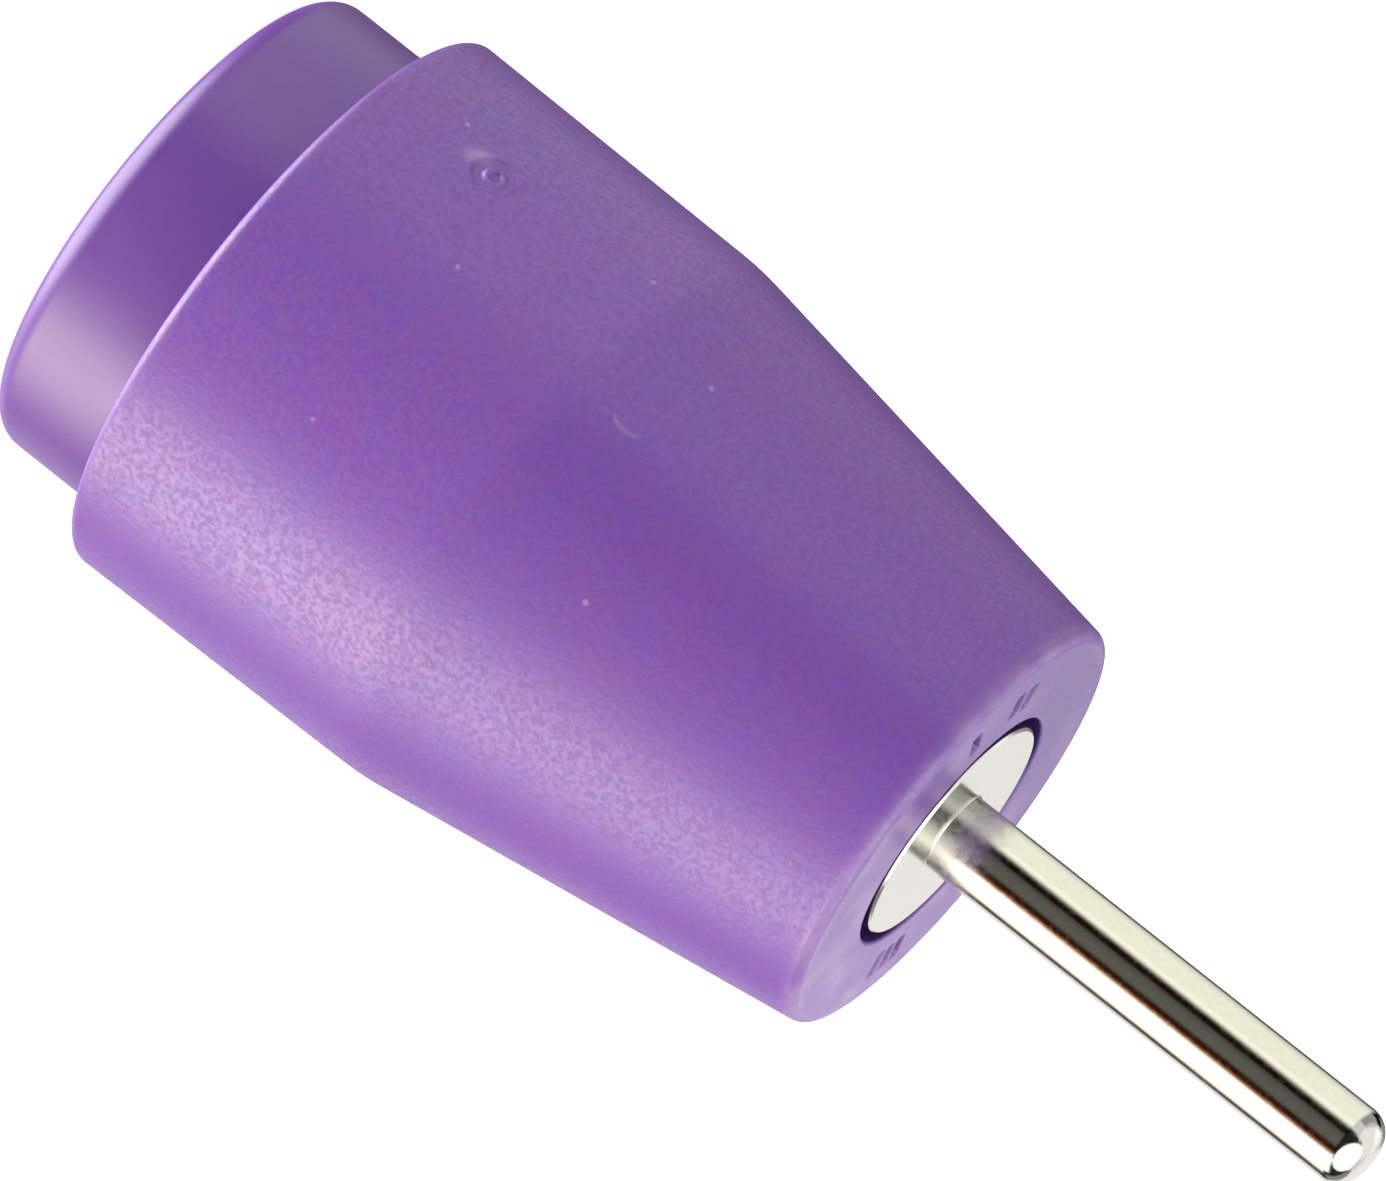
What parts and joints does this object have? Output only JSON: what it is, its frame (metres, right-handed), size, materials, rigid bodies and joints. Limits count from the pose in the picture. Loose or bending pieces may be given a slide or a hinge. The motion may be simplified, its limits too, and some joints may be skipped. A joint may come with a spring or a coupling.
{
  "type": "insulated test lead adapter",
  "caption": "Insulated test adapter: a shrouded 4 mm socket at the rear joined to a slim 2 mm round-tipped pin at the front, in a tapered violet grip.",
  "frame": {"origin": "centre of the flat rear face, on the axis", "axes": "+Z along the axis from the rear mouth to the pin's tip, +X and +Y across it"},
  "size_m": [0.0152, 0.0152, 0.036],
  "materials": {
    "violet_grained_polyamide": "moulded violet polyamide with a fine spark-eroded grain, satin",
    "violet_smooth_polyamide": "moulded violet polyamide from a smooth mould, soft gloss",
    "nickel_plated_brass": "turned brass with bright nickel plating, polished",
    "spring_steel": "hardened spring steel, tumbled"
  },
  "bodies": {
    "root": {"grip_shell": "violet_grained_polyamide", "socket_insulator": "violet_smooth_polyamide", "contact_socket": "nickel_plated_brass", "plug_pin": "nickel_plated_brass", "retaining_ring": "spring_steel"}
  },
  "joints": []
}
